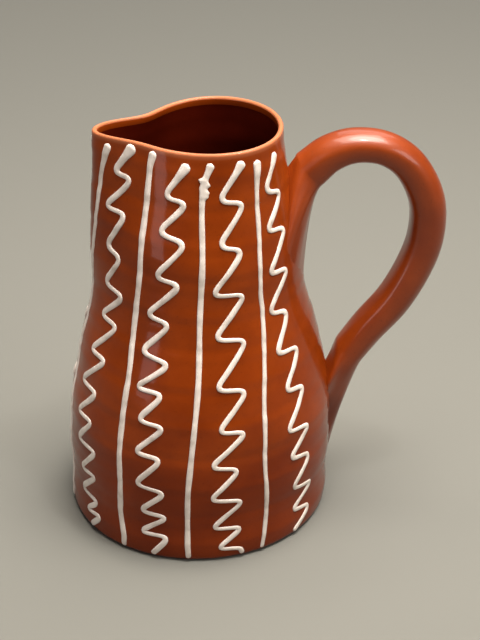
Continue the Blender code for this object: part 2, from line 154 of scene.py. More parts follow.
# How much of its lift off the wall the soft side of each root loses.
UPPER_SOFTNESS = 0.75
LOWER_SOFTNESS = 0.35
# How deep the pressed side is sunk into the wall, and the soft side's share of that.
ROOT_BURY = 0.0010
SOFT_BURY_SHARE = 0.2
# The roll of slip along a root: its radius, its reach to each side along the outline as a share
# of the whole way round, how blunt its ends are, and its lumps as (size, pitch, phase).
JOINT_BEAD = 0.0006
JOINT_BEAD_REACH = 0.22
JOINT_BEAD_BLUNTNESS = 0.02
JOINT_LUMPS = ((0.25, 21, 0.0), (0.2, 47, 1.0))

# ---- The slip trails: their routes as in the CAD, their widths more varied --------------------

# Each front trail in the order in which it was drawn, from the rim down to the foot:
# (azimuth in degrees, height in millimetres). A wave is given by its turns.
FRONT_WAVES = {
    "wave_trail_2": (
        (-61, 205), (-70.5, 192.5), (-56.5, 191.5), (-73.5, 174.5), (-56.5, 174), (-69.5, 155),
        (-56, 152), (-69, 135.5), (-51, 133.5), (-69, 118.5), (-52, 117.5), (-69.5, 99.5),
        (-54, 99.5), (-72, 81.5), (-55.5, 81.5), (-69.5, 65), (-55, 66), (-67.5, 50), (-51, 50.5),
        (-64, 34), (-51, 35.5), (-65, 20.5), (-50.5, 19.5), (-60, 10.5), (-48, 12.5), (-55, 4),
    ),
    "wave_trail_3": (
        (-16, 201), (-30.5, 187), (-11.5, 185.5), (-31.5, 170.5), (-11, 167), (-31, 149),
        (-13.5, 147), (-34.5, 129.5), (-18.5, 127), (-34.5, 111.5), (-17, 108), (-34, 94),
        (-18.5, 93.5), (-30.5, 78.5), (-16.5, 77.5), (-30.5, 61.5), (-17, 60.5), (-29.5, 43.5),
        (-15, 41.5), (-27.5, 27.5), (-14, 26.5), (-27.5, 14.5), (-13.5, 14.5), (-20.5, 3.5),
    ),
    "wave_trail_4": (
        (24, 203), (8.5, 186.5), (27, 185.5), (7.5, 165.5), (23.5, 163.5), (3, 142),
        (23.5, 141.5), (4, 120.5), (22.5, 119), (4.5, 96.5), (20.5, 95), (5.5, 75.5), (19, 74.5),
        (2.5, 57), (16, 55), (2.5, 38), (18, 36), (3.5, 20), (18, 19), (6, 7.5), (16.5, 6.5),
        (17.5, 3.5),
    ),
    "wave_trail_5": (
        (54, 202.5), (41.5, 187.5), (59.5, 184.5), (39.5, 168.5), (58, 167), (38, 147.5),
        (55.5, 147), (36.5, 127.5), (52, 125.5), (37.5, 107), (54.5, 106), (39.5, 87.5), (53, 86),
        (38, 66.5), (53, 65), (39.5, 50.5), (53.5, 47.5), (41.5, 31), (57, 27.5), (42.5, 16.5),
        (56, 13.5), (45.5, 3.5),
    ),
}
FRONT_LINES = {
    "line_trail_1": (
        (-74.5, 204), (-77.5, 190), (-78.5, 170.5), (-81, 151), (-83.5, 131.5), (-84, 95.5),
        (-81, 60), (-80, 30), (-80.5, 4),
    ),
    "line_trail_2": (
        (-43, 205), (-43.5, 198.5), (-42, 179.5), (-40.5, 150), (-41, 125), (-39.5, 110),
        (-38, 97), (-37.5, 70), (-36.5, 40), (-37, 22), (-35, 10), (-35, 3.5),
    ),
    "line_trail_3": (
        (3, 202.5), (-1, 194.5), (-2, 183), (-1.5, 159), (-3, 129.5), (-3, 98), (-5, 60),
        (-6, 40), (-6, 15), (-5.5, 3.5),
    ),
    "line_trail_4": (
        (36.5, 202), (35.5, 189), (34.5, 169.5), (33, 154.5), (32.5, 140), (33, 130), (31, 110),
        (28, 87), (27, 65), (27, 50), (28.5, 25), (27, 3.5),
    ),
}
# The trails on the spout and the back: (name, azimuth).
BACK_WAVES = (
    ("wave_trail_1", -97.5),
    ("wave_trail_6", 133.0),
    ("wave_trail_7", 165.0),
    ("wave_trail_8", 197.5),
    ("wave_trail_9", 230.0),
)
BACK_LINES = (
    ("line_trail_5", 149.0),
    ("line_trail_6", 181.0),
    ("line_trail_7", 214.0),
    ("line_trail_8", 246.5),
)
BACK_TOP = 203.0
BACK_BOTTOM = 3.5
BACK_TURNS = 22
# The swing of a back wave to each side, its unevenness, and the drift of its middle, in
# degrees; the fall of each cross stroke in millimetres; and how much each wave's turns close up
# and each stroke levels out by the time it reaches the foot.
BACK_SWING = 7.5
BACK_UNEVENNESS = 0.75
BACK_DRIFT = 1.5
BACK_STROKE = 7.5
BACK_CLOSING = 0.15
BACK_LEVELLING = 0.3
LINE_STOPS = 9
# How far before and after each turn a wave starts to round it, at most this share of the limb.
WAVE_TURN = 0.0060
TURN_SHARE = 0.48

WAVE_WIDTH = 0.0029
LINE_WIDTH = 0.0028
OTHER_WIDTHS = {
    "line_trail_1": 0.0026,
    "line_trail_2": 0.0032,
    "line_trail_4": 0.0024,
    "wave_trail_2": 0.0031,
    "wave_trail_4": 0.0027,
}
# The slight unevenness of a trail's width: (size, pitch per metre, how far its phase shifts from
# one trail to the next), and the step from each trail to the next.
WIDTH_PULSES = ((0.05, 310, 1), (0.04, 127, 2))
SEED_STEP = 1.7
# How much of its width a level stroke loses, and how level it is when it starts to lose any.
STROKE_THINNING = 0.24
STROKE_LEVEL = 0.75
BEAD_RISE = 0.0007
# The power that shapes a bead's section: 1 is half an ellipse and less is squarer.
BEAD_ROUNDNESS = 0.8
# How many times its usual height a wide place of a bead may reach.
RISE_LIMIT = 1.45
BEAD_BURY = 0.0003
# The smallest share of its squared width that a bead keeps at its ends.
END_BLUNTNESS = 0.02
# A bead's edge stops where another limb's middle is nearer to it than this share of the way to
# its own middle.
LIMB_CLEARANCE = 0.985
# The blob where each trail starts: (width, length over which it narrows).
BLOBS = {
    "line_trail_1": (0.0040, 0.008),
    "line_trail_2": (0.0042, 0.007),
    "line_trail_3": (0.0041, 0.004),
    "line_trail_4": (0.0045, 0.008),
    "wave_trail_2": (0.0060, 0.0075),
    "wave_trail_3": (0.0054, 0.0065),
    "wave_trail_4": (0.0048, 0.0045),
    "wave_trail_5": (0.0042, 0.006),
}
OTHER_BLOB = (0.0044, 0.008)
# Lumps where the trailer clogged: (height in millimetres, side, extra width, half length).
# The side is -1 for the spout's side and 1 for the handle's side.
KNOT_TRAIL = "line_trail_3"
KNOT_LUMPS = (
    (196.0, -1, 0.0017, 0.0009),
    (194.6, 1, 0.0016, 0.0013),
    (190.9, 1, 0.0017, 0.0014),
    (188.8, 1, 0.0013, 0.0009),
    (192.8, -1, 0.0004, 0.0016),
)

# ---- Mesh fineness ----------------------------------------------------------------------------

WALL_SIDES = 216
OUTER_ROWS = 130
INNER_ROWS = 70
FOOT_ROWS = 8
LIP_ROWS = 14
FLOOR_ROWS = 10
# The rings of the flat foot, by how far in they lie, and those of the flat floor by their size.
FOOT_INSETS = (0.55, 0.3, 0.12, 0.04)
FLOOR_SCALES = (0.85, 0.6, 0.35)
# How many rows of the foot's rounded edge the glaze leaves bare.
BARE_ROWS = 2
STRAP_SIDES = 56
STRAP_RINGS = 110
BLEND_RINGS = 26
PATCH_SCALES = (0.2, 0.5, 0.8)
JOINT_BEAD_RINGS = 70
JOINT_BEAD_SIDES = 10
BEAD_STEP = 0.0007
BEAD_SIDES = 12
TURN_POINTS = 9
LINE_POINTS = 160
REACH_STEPS = 12
# The wall's direction at a place is measured over one degree, half of it to each side.
HALF_DEGREE = 0.5


# ---- The wall's shape -------------------------------------------------------------------------

def unit(vectors):
    return vectors / np.linalg.norm(vectors, axis=-1, keepdims=True)


def smooth_between(stations, at, column):
    """Values on the smooth curve through the stations' first column and another column."""
    at = np.asarray(at, float)
    x = stations[:, 0]
    y = stations[:, column]
    slopes = np.empty(len(x))
    slopes[1:-1] = (y[2:] - y[:-2]) / (x[2:] - x[:-2])
    slopes[0] = (y[1] - y[0]) / (x[1] - x[0])
    slopes[-1] = (y[-1] - y[-2]) / (x[-1] - x[-2])
    index = np.clip(np.searchsorted(x, at, side="left") - 1, 0, len(x) - 2)
    span = x[index + 1] - x[index]
    t = (at - x[index]) / span
    value = (2 * t**3 - 3 * t**2 + 1) * y[index] + (3 * t**2 - 2 * t**3) * y[index + 1]
    bend = (t**3 - 2 * t**2 + t) * slopes[index] + (t**3 - t**2) * slopes[index + 1]
    return value + span * bend


def angle_from_spout(azimuth):
    """Radians round the vessel from the middle of the spout, between -pi and pi."""
    turn = np.radians(np.asarray(azimuth, float) + 90.0)
    return (turn + math.pi) % (2 * math.pi) - math.pi


def flank(turn, side):
    """How strongly one side of the spout is pinched in, from 0 to 1."""
    _depth, angle, spread = side
    return np.exp(-(((turn - angle) / spread) ** 2))


def rim_height(azimuth):
    turn = angle_from_spout(azimuth)
    return RIM_HEIGHT - RIM_DIP * (flank(turn, FAR_FLANK) + flank(turn, NEAR_FLANK))


def growth(share, start, power):
    """Zero below start, then rising to one at the rim."""
    return np.clip((share - start) / (1.0 - start), 0.0, None) ** power


def waver(azimuth, share):
    """The slight unevenness of a wall turned by hand, none of it at the foot."""
    turn = np.radians(np.asarray(azimuth, float))
    depth = 0.0
    for size, around, up, phase in WALL_WAVER:
        depth = depth + size * np.sin(around * turn + 2 * math.pi * up * share + phase)
    return depth * np.clip(share / WAVER_FADE, 0.0, 1.0)


def outer_radius(azimuth, share):
    """The wall's outer radius at a share of the rim's height."""
    turn = angle_from_spout(azimuth)
    spout = SPOUT_REACH * np.exp(-((turn / SPOUT_WIDTH) ** 2))
    pinch = RIM_OVALITY * np.cos(2 * turn)
    for side in (FAR_FLANK, NEAR_FLANK):
        pinch = pinch + side[0] * flank(turn, side)
    radius = smooth_between(PROFILE, share * RIM_HEIGHT, 1)
    radius = radius + growth(share, SPOUT_START, SPOUT_GROWTH) * spout
    return radius - growth(share, FLANK_START, FLANK_GROWTH) * pinch


def around_axis(azimuth, height, radius):
    """Points at a radius round the vessel's leaning axis."""
    lean = smooth_between(PROFILE, np.clip(height, 0.0, RIM_HEIGHT), 2)
    turn = np.radians(azimuth)
    places = (lean + radius * np.sin(turn), -radius * np.cos(turn), height + 0.0 * radius)
    return np.stack(np.broadcast_arrays(*places), -1)


def on_wall(azimuth, height):
    """Points on the wall's outer face."""
    azimuth = np.asarray(azimuth, float)
    height = np.asarray(height, float)
    share = height / rim_height(azimuth)
    return around_axis(azimuth, height, outer_radius(azimuth, share) + waver(azimuth, share))


def wall_girth(azimuth, height):
    """The stretch of wall that one degree of azimuth spans."""
    return on_wall(azimuth + HALF_DEGREE, height) - on_wall(azimuth - HALF_DEGREE, height)


def wall_climb(azimuth, height):
    return on_wall(azimuth, height + MM) - on_wall(azimuth, height - MM)


def wall_normal(azimuth, height):
    return unit(np.cross(wall_girth(azimuth, height), wall_climb(azimuth, height)))


def off_wall(azimuth, height, gap):
    """Points at a gap outside the wall."""
    gap = np.asarray(gap, float)[..., None]
    return on_wall(azimuth, height) + gap * wall_normal(azimuth, height)


# ---- Building meshes from rings ---------------------------------------------------------------

def lofted(name, rings):
    """One smooth closed mesh through a row of rings, with its two end rings filled."""
    rings = np.asarray(rings)
    count, sides = rings.shape[:2]
    faces = []
    for row in range(count - 1):
        low = row * sides
        for side in range(sides):
            after = (side + 1) % sides
            faces.append((low + side, low + after, low + sides + after, low + sides + side))
    last = (count - 1) * sides
    faces.append(tuple(range(sides - 1, -1, -1)))
    faces.append(tuple(range(last, last + sides)))
    mesh = bpy.data.meshes.new(name)
    mesh.from_pydata(rings.reshape(-1, 3).tolist(), [], faces)
    mesh.validate()
    mesh.shade_smooth()
    piece = bpy.data.objects.new(name, mesh)
    bpy.context.scene.collection.objects.link(piece)
    return piece


# ---- The vessel -------------------------------------------------------------------------------

def wall_thickness(height):
    """Thick at the base, thinning to the neck and the lip."""
    taper = np.clip(height / TAPER_HEIGHT, 0.0, 1.0)
    near_lip = np.clip((height - TAPER_HEIGHT) / (RIM_HEIGHT - TAPER_HEIGHT), 0.0, 1.0)
    thickness = BASE_WALL + (NECK_WALL - BASE_WALL) * taper
    return thickness + (LIP_THICKNESS - NECK_WALL) * near_lip


def foot_rings(azimuth):
    """The flat foot and its rounded edge."""
    rings = []
    foot_radius = outer_radius(azimuth, FOOT_ROUND / RIM_HEIGHT)
    for inset in FOOT_INSETS:
        rings.append(around_axis(azimuth, 0.0, (foot_radius - FOOT_ROUND) * (1.0 - inset)))
    for step in range(FOOT_ROWS + 1):
        rise = math.pi / 2 * step / FOOT_ROWS
        radius = foot_radius - FOOT_ROUND * (1.0 - math.sin(rise))
        rings.append(around_axis(azimuth, FOOT_ROUND * (1.0 - math.cos(rise)), radius))
    return rings


def outer_rings(azimuth, top):
    """The outer face up to the lip, and the rounded lip."""
    rings = []
    for step in range(1, OUTER_ROWS + 1):
        height = FOOT_ROUND + (top - FOOT_ROUND) * step / OUTER_ROWS
        rings.append(on_wall(azimuth, height))
    lip_radius = LIP_THICKNESS / 2
    share = top / rim_height(azimuth)
    middle = outer_radius(azimuth, share) + waver(azimuth, share) - lip_radius
    for step in range(1, LIP_ROWS):
        roll = math.pi * step / LIP_ROWS
        radius = middle + lip_radius * math.cos(roll)
        rings.append(around_axis(azimuth, top + lip_radius * math.sin(roll), radius))
    return rings


def inner_rings(azimuth, top):
    """The inner face, its rounded corner and the floor."""
    rings = []
    bottom = FLOOR_THICKNESS + FLOOR_FILLET
    for step in range(INNER_ROWS + 1):
        height = top + (bottom - top) * step / INNER_ROWS
        share = height / rim_height(azimuth)
        radius = outer_radius(azimuth, share) + waver(azimuth, share) - wall_thickness(height)
        rings.append(around_axis(azimuth, height, radius))
    for step in range(1, FLOOR_ROWS + 1):
        sweep = math.pi / 2 * step / FLOOR_ROWS
        inner = radius - FLOOR_FILLET * (1.0 - math.cos(sweep))
        rings.append(around_axis(azimuth, bottom - FLOOR_FILLET * math.sin(sweep), inner))
    for scale in FLOOR_SCALES:
        rings.append(around_axis(azimuth, FLOOR_THICKNESS, inner * scale))
    return rings


def make_vessel():
    """The thrown wall, its foot, lip, inner face and floor, in one skin.

    Its attribute for the pale lip is 1 at the top of the lip and fades down the outer face; the
    paleness is partly thin glaze and partly painted sheen.
    """
    azimuth = 360.0 * np.arange(WALL_SIDES) / WALL_SIDES
    top = rim_height(azimuth) - LIP_THICKNESS / 2
    rings = foot_rings(azimuth) + outer_rings(azimuth, top)
    outer_count = len(rings)
    rings += inner_rings(azimuth, top)
    vessel = lofted("thrown_vessel", rings)
    # The pale lip, partly thin glaze and partly painted sheen, fades down from the rim.
    below_rim = rim_height(azimuth) - np.asarray(rings)[:, :, 2]
    thinness_and_sheen = np.exp(-((below_rim / LIP_FADE) ** 2))
    thinness_and_sheen[outer_count:] = 0.0
    thin_glaze_and_sheen = vessel.data.attributes.new("thin_glaze_and_sheen", "FLOAT", "POINT")
    thin_glaze_and_sheen.data.foreach_set("value", thinness_and_sheen.ravel())
    return vessel, outer_count


def coat_vessel(vessel, outer_count, materials):
    """Give the vessel its materials: the outside's, the inside's and the bare foot's."""
    for material in materials:
        vessel.data.materials.append(material)
    inside_start = (outer_count + 1) * WALL_SIDES
    bare_end = (len(FOOT_INSETS) + BARE_ROWS + 1) * WALL_SIDES
    for face in vessel.data.polygons:
        if min(face.vertices) >= inside_start:
            face.material_index = 1
        elif max(face.vertices) < bare_end:
            face.material_index = 2


# ---- The handle -------------------------------------------------------------------------------

def curve_points(knots, share):
    """Points on the smooth curve through evenly weighted knots, share from 0 to 1."""
    knots = np.asarray(knots, float)
    if knots.ndim == 1:
        knots = knots[:, None]
    last = len(knots) - 1
    padded = np.vstack((2 * knots[:1] - knots[1:2], knots, 2 * knots[-1:] - knots[-2:-1]))
    place = np.clip(np.asarray(share, float), 0.0, 1.0) * last
    index = np.minimum(place.astype(int), last - 1)
    t = (place - index)[..., None]
    before, start, end, after = (padded[index + i] for i in range(4))
    bend = (end - before) * t + (2 * before - 5 * start + 4 * end - after) * t**2
    bend += (3 * start - before - 3 * end + after) * t**3
    return start + bend / 2


def strap_frame(share):
    """The strap's middle, its direction from the upper root, and its outward normal."""
    step = 0.004
    middle = curve_points(STRAP_LINE, share)
    forward = curve_points(STRAP_LINE, share + step) - curve_points(STRAP_LINE, share - step)
    forward = forward / np.linalg.norm(forward)
    return middle, forward, np.array((-forward[2], 0.0, forward[0]))


def strap_ring(share):
    """A D-shaped section: round on its outer side, flatter on the side of the fingers."""
    middle, _forward, outward = strap_frame(share)
    half = curve_points(STRAP_THICKNESS, share)[0] / 2
    turn = 2 * math.pi * np.arange(STRAP_SIDES) / STRAP_SIDES
    cosine = np.cos(turn)
    sine = np.sin(turn)
    roundness = OUTER_ROUNDNESS - ROUNDNESS_DROP * np.clip(0.5 - cosine, 0.0, 1.0)
    lift = np.sign(cosine) * np.abs(cosine) ** roundness
    side = np.sign(sine) * np.abs(sine) ** roundness
    across = np.array((0.0, -STRAP_WIDTH / 2, 0.0))
    return middle + outward * (half * lift)[:, None] + across * side[:, None]


def root_ring(outline, gap, scale=1.0):
    """The root's outline laid on the wall at a gap, and the wall's normals there."""
    share = 2.0 * np.arange(STRAP_SIDES) / STRAP_SIDES
    half = curve_points(outline, np.where(share <= 1.0, share, 2.0 - share))
    side = np.where(share <= 1.0, half[:, 0], -FAR_SHARE * half[:, 0]) * scale
    middle = (outline[0, 1] + outline[-1, 1]) / 2
    height = middle + (half[:, 1] - middle) * scale
    azimuth = 90.0 - np.degrees(side / smooth_between(PROFILE, height, 1))
    return off_wall(azimuth, height, gap + np.zeros(STRAP_SIDES)), wall_normal(azimuth, height)


def root_blend(outline, share, pressed_side, softness):
    """Rings from the root on the wall to the strap's section at a share.

    The pressed side, 1 for the strap's outer side and -1 for its inner side, ends in a crisp
    edge, and the other side runs out along the wall.
    """
    section = strap_ring(share)
    turn = 2 * math.pi * np.arange(STRAP_SIDES) / STRAP_SIDES
    firm = ((1.0 + pressed_side * np.cos(turn)) / 2) ** FIRM_FALLOFF
    bury = SOFT_BURY_SHARE + (1.0 - SOFT_BURY_SHARE) * firm
    foot, normal = root_ring(outline, -ROOT_BURY * bury)
    shoulder, _normal = root_ring(outline, ROOT_SWELL, ROOT_SPREAD)
    firm = firm[:, None]
    along = section - foot
    reach = np.linalg.norm(along, axis=1, keepdims=True)
    flat = along - softness * normal * (along * normal).sum(axis=1, keepdims=True)
    start_pull = flat * (1.0 - firm) + ROOT_FIRMNESS * (shoulder - foot) * firm
    _middle, forward, _outward = strap_frame(share)
    toward_strap = forward if share < 0.5 else -forward
    end_pull = toward_strap * reach * ROOT_PULL
    rings = []
    for step in range(BLEND_RINGS):
        t = step / BLEND_RINGS
        ring = (2 * t**3 - 3 * t**2 + 1) * foot + (3 * t**2 - 2 * t**3) * section
        ring = ring + (t**3 - 2 * t**2 + t) * start_pull + (t**3 - t**2) * end_pull
        rings.append(ring)
    return rings


def make_handle():
    rings = [root_ring(UPPER_ROOT, -ROOT_BURY, scale)[0] for scale in PATCH_SCALES]
    rings += root_blend(UPPER_ROOT, 0.0, 1, UPPER_SOFTNESS)
    rings += [strap_ring(step / STRAP_RINGS) for step in range(STRAP_RINGS + 1)]
    rings += root_blend(LOWER_ROOT, 1.0, -1, LOWER_SOFTNESS)[::-1]
    rings += [root_ring(LOWER_ROOT, -ROOT_BURY, scale)[0] for scale in reversed(PATCH_SCALES)]
    return lofted("pulled_handle", rings)


def make_joint_bead(name, outline, pressed_side):
    """The roll of slip squeezed out along a root's pressed side, fading toward its soft side."""
    spine, outward = root_ring(outline, 0.0)
    middle = 0.0 if pressed_side > 0 else 0.5
    place = np.linspace(-1.0, 1.0, JOINT_BEAD_RINGS)
    share = (middle + place * JOINT_BEAD_REACH) % 1.0
    path = curve_points(np.vstack((spine, spine[:1])), share)
    outward = unit(curve_points(np.vstack((outward, outward[:1])), share))
    ahead = unit(np.gradient(path, axis=0))
    side = np.cross(ahead, outward)
    lumps = 1.0
    for size, pitch, phase in JOINT_LUMPS:
        lumps = lumps + size * np.sin(pitch * place + phase)
    radius = JOINT_BEAD * lumps * np.sqrt(1.0 + JOINT_BEAD_BLUNTNESS - place**2)
    turn = 2 * math.pi * np.arange(JOINT_BEAD_SIDES) / JOINT_BEAD_SIDES
    sway = np.cos(turn)[:, None] * outward[:, None] + np.sin(turn)[:, None] * side[:, None]
    return lofted(name, path[:, None] + radius[:, None, None] * sway)


# ---- The slip trails --------------------------------------------------------------------------

def on_wall_mm(places):
    """Points on the wall at (azimuth, height in millimetres) places."""
    places = np.asarray(places, float)
    return on_wall(places[..., 0], places[..., 1] * MM)


def span_between(first, second):
    """The distance across the wall between two places."""
    return np.linalg.norm(on_wall_mm(second) - on_wall_mm(first))


def wave_path(turns):
    """The middle of a wave, its turns rounded off."""
    corners = np.array(turns, float)
    path = [corners[0]]
    for before, corner, after in zip(corners, corners[1:], corners[2:]):
        back = min(WAVE_TURN / span_between(before, corner), TURN_SHARE)
        ahead = min(WAVE_TURN / span_between(corner, after), TURN_SHARE)
        enter = corner + (before - corner) * back
        leave = corner + (after - corner) * ahead
        for t in np.linspace(0.0, 1.0, TURN_POINTS):
            path.append((1 - t) ** 2 * enter + 2 * t * (1 - t) * corner + t**2 * leave)
    path.append(corners[-1])
    return np.array(path)


def line_path(stops):
    return curve_points(np.array(stops, float), np.linspace(0.0, 1.0, LINE_POINTS))


def with_ends(path, start_width, end_width):
    """The path carried on at both ends by half of the trail's width there."""
    before = path[0] + (path[0] - path[1]) * start_width / 2 / span_between(path[0], path[1])
    after = path[-1] + (path[-1] - path[-2]) * end_width / 2 / span_between(path[-1], path[-2])
    return np.vstack((before, path, after))


def evenly_spaced(path):
    """The same path with a point every bead step, and how far along each point is."""
    steps = np.linalg.norm(np.diff(on_wall_mm(path), axis=0), axis=1)
    length = np.concatenate(([0.0], np.cumsum(steps)))
    along = np.linspace(0.0, length[-1], max(int(length[-1] / BEAD_STEP), 4))
    columns = [np.interp(along, length, path[:, i]) for i in range(2)]
    return np.stack(columns, -1), along


def bead_half_widths(name, width, places, along, level, seed):
    """Half the bead's width toward the spout's side and toward the handle's side.

    The level strokes of a wave are the quick ones, so they are the thin ones.
    """
    blob, narrowing = BLOBS.get(name, OTHER_BLOB)
    pulse = 1.0
    for size, pitch, shift in WIDTH_PULSES:
        pulse = pulse + size * np.sin(along * pitch + shift * seed)
    levelness = np.clip((level - STROKE_LEVEL) / (1.0 - STROKE_LEVEL), 0.0, 1.0)
    pulse = pulse * (1.0 - STROKE_THINNING * levelness)
    half = (width * pulse + (blob - width) * np.exp(-((along / narrowing) ** 2))) / 2
    for distance in (along, along[-1] - along):
        cap = np.clip(distance / half, 0.0, 1.0)
        half = half * np.sqrt(np.clip(1.0 - (1.0 - cap) ** 2, END_BLUNTNESS, 1.0))
    halves = {-1: half, 1: half.copy()}
    if name == KNOT_TRAIL:
        for height, side, extra, length in KNOT_LUMPS:
            lump = np.exp(-(((places[:, 1] - height) * MM / length) ** 2))
            halves[side] = halves[side] + extra * lump
    return halves


def trail_frame(azimuth, height):
    """The trail's middle on the wall, its way across, and how level it runs, from 0 to 1.

    The way across is given twice: as a direction, and as the degrees of azimuth in each metre.
    """
    spine = on_wall(azimuth, height)
    girth = wall_girth(azimuth, height)
    climb = unit(wall_climb(azimuth, height))
    ahead = unit(np.gradient(spine, axis=0))
    across = unit(np.cross(ahead, wall_normal(azimuth, height)))
    rising = across[:, 2] / climb[:, 2]
    turning = ((across - rising[:, None] * climb) * unit(girth)).sum(axis=1)
    turning = turning / np.linalg.norm(girth, axis=1)
    level = np.sqrt(np.clip(1.0 - (ahead * climb).sum(axis=1) ** 2, 0.0, 1.0))
    return spine, across, turning, level


def bead_rings(name, path, width, seed):
    """Rings of a rounded bead along a path; each stops where it would cross another limb."""
    blob, _narrowing = BLOBS.get(name, OTHER_BLOB)
    places, along = evenly_spaced(with_ends(path, blob, width))
    azimuth = places[:, 0]
    height = places[:, 1] * MM
    spine, across, turning, level = trail_frame(azimuth, height)
    halves = bead_half_widths(name, width, places, along, level, seed)
    # Going down the wall, across points to the spout's side.
    left = free_reach(spine, across, halves[-1], 1.0)
    right = free_reach(spine, across, halves[1], -1.0)
    mean = (left + right) / 2
    rise = BEAD_RISE * np.minimum(mean / (width / 2), RISE_LIMIT)
    turn = np.linspace(0.0, math.pi, BEAD_SIDES - 2)
    sideways = np.concatenate((-np.cos(turn), (1.0, -1.0)))
    lift = np.concatenate((np.sin(turn) ** BEAD_ROUNDNESS, (-1.0, -1.0)))
    offset = np.where(sideways > 0, left[:, None], right[:, None]) * sideways
    gap = np.where(lift >= 0, lift * rise[:, None], -BEAD_BURY)
    gap[:, 0] = 0.0
    gap[:, BEAD_SIDES - 3] = 0.0
    ring_azimuth = azimuth[:, None] + turning[:, None] * offset
    ring_height = height[:, None] + across[:, 2:] * offset
    return off_wall(ring_azimuth, ring_height, gap)[:, ::-1]


def free_reach(spine, across, half, way):
    """How far each point's section may reach to one side before another limb is nearer."""
    low = np.zeros(len(spine))
    high = half.copy()
    for _ in range(REACH_STEPS):
        trial = (low + high) / 2
        fits = nearest_limb(spine, across, way * trial) > trial * LIMB_CLEARANCE
        low = np.where(fits, trial, low)
        high = np.where(fits, high, trial)
    clear = nearest_limb(spine, across, way * half) > half * LIMB_CLEARANCE
    return np.where(clear, half, low)


def nearest_limb(spine, across, offset):
    """The distance from a place beside each point to the nearest point of the whole trail."""
    tip = spine + across * offset[:, None]
    return np.linalg.norm(tip[:, None, :] - spine[None, :, :], axis=2).min(axis=1)


def back_height(share):
    return BACK_TOP + (BACK_BOTTOM - BACK_TOP) * share


def back_drift(azimuth, share):
    """How far a trail round the back strays sideways on its way down."""
    return BACK_DRIFT * math.sin(4.0 * share + azimuth)


def back_wave(azimuth):
    """The turns of a wave on the spout or the back, tighter toward the foot."""
    turns = [(azimuth + BACK_SWING / 2, BACK_TOP)]
    for index in range(1, BACK_TURNS):
        share = index / BACK_TURNS
        height = back_height(share + BACK_CLOSING * share * (1.0 - share))
        side = 1 if index % 2 == 0 else -1
        swing = BACK_SWING * (1.0 - BACK_CLOSING * share)
        swing += BACK_UNEVENNESS * math.sin(5.0 * index + azimuth)
        stroke = BACK_STROKE * (1.0 - BACK_LEVELLING * share)
        middle = azimuth + back_drift(azimuth, share)
        turns.append((middle + side * swing, height + side * stroke / 2))
    turns.append((azimuth, BACK_BOTTOM))
    return turns


def back_line(azimuth):
    stops = []
    for index in range(LINE_STOPS):
        share = index / (LINE_STOPS - 1)
        stops.append((azimuth + back_drift(azimuth, share), back_height(share)))
    return stops


# ---- Materials --------------------------------------------------------------------------------

# The deep and the bright colour of each material.
OUTSIDE_CLAY = ((0.180, 0.024, 0.0015), (0.260, 0.039, 0.0025))
# The inside is the outside's clay and glaze, darkened with painted shade for the shadow within the
# pitcher.
INSIDE_CLAY_PAINTED_SHADE = ((0.060, 0.004, 0.0010), (0.090, 0.007, 0.0015))
BARE_CLAY = ((0.36, 0.13, 0.055), (0.56, 0.24, 0.12))
SLIP_WHITE = ((0.57, 0.48, 0.41), (0.75, 0.66, 0.59))
# The lip's paler colour: partly glaze running thin over the edge, partly painted sheen where light
# catches the lip's top.
LIP_CLAY_AND_SHEEN = (0.46, 0.150, 0.065)
# The handle's glaze has a softer, broader shine than the wall's.
HANDLE_SHEEN = 0.30
HANDLE_COAT_IOR = 1.30
SPECK_TINT = (0.62, 0.56, 0.52)
# Below the belly's turn the clay is darkened and browned: painted shade for the dark ground
# reflected in the glaze.
BELLY_SHADE_STEP = (0.052, 0.063)
BELLY_PAINTED_SHADE = (0.80, 0.70, 0.50)
FLOOR_COLOR = (0.160, 0.157, 0.139)


def node_material(name):
    material = bpy.data.materials.new(name)
    material.use_nodes = True
    tree = material.node_tree
    return material, tree, tree.nodes["Principled BSDF"]


def noise_node(tree, coordinates, scale, detail, roughness):
    noise = tree.nodes.new("ShaderNodeTexNoise")
    noise.inputs["Scale"].default_value = scale
    noise.inputs["Detail"].default_value = detail
    noise.inputs["Roughness"].default_value = roughness
    tree.links.new(coordinates, noise.inputs["Vector"])
    return noise


def ramp_node(tree, source, stops):
    """A colour ramp through stops of (place, colour)."""
    ramp = tree.nodes.new("ShaderNodeValToRGB")
    elements = ramp.color_ramp.elements
    while len(elements) < len(stops):
        elements.new(0.5)
    for element, (place, color) in zip(elements, stops):
        element.position = place
        element.color = (*color, 1.0)
    tree.links.new(source, ramp.inputs["Fac"])
    return ramp


def bump_node(tree, height, strength, distance, normal=None):
    bump = tree.nodes.new("ShaderNodeBump")
    bump.inputs["Strength"].default_value = strength
    bump.inputs["Distance"].default_value = distance
    tree.links.new(height, bump.inputs["Height"])
    if normal is not None:
        tree.links.new(normal, bump.inputs["Normal"])
    return bump


def tinted(tree, color, tint, strength):
    """A colour multiplied by a tint, with a strength from 0 to 1."""
    mix = tree.nodes.new("ShaderNodeMix")
    mix.data_type = "RGBA"
    mix.blend_type = "MULTIPLY"
    mix.inputs["Factor"].default_value = strength
    tree.links.new(color, mix.inputs["A"])
    tree.links.new(tint, mix.inputs["B"])
    return mix.outputs["Result"]


def object_coordinates(tree):
    return tree.nodes.new("ShaderNodeTexCoord").outputs["Object"]


def belly_painted_shade(tree, coordinates):
    """White above the belly's turn, and below it the tint of painted shade for the reflected dark
    ground.
    """
    place = tree.nodes.new("ShaderNodeSeparateXYZ")
    tree.links.new(coordinates, place.inputs["Vector"])
    above = tree.nodes.new("ShaderNodeMapRange")
    above.interpolation_type = "SMOOTHSTEP"
    above.inputs["From Min"].default_value = BELLY_SHADE_STEP[0]
    above.inputs["From Max"].default_value = BELLY_SHADE_STEP[1]
    tree.links.new(place.outputs["Z"], above.inputs["Value"])
    stops = ((0.0, BELLY_PAINTED_SHADE), (1.0, (1, 1, 1)))
    return ramp_node(tree, above.outputs["Result"], stops).outputs["Color"]


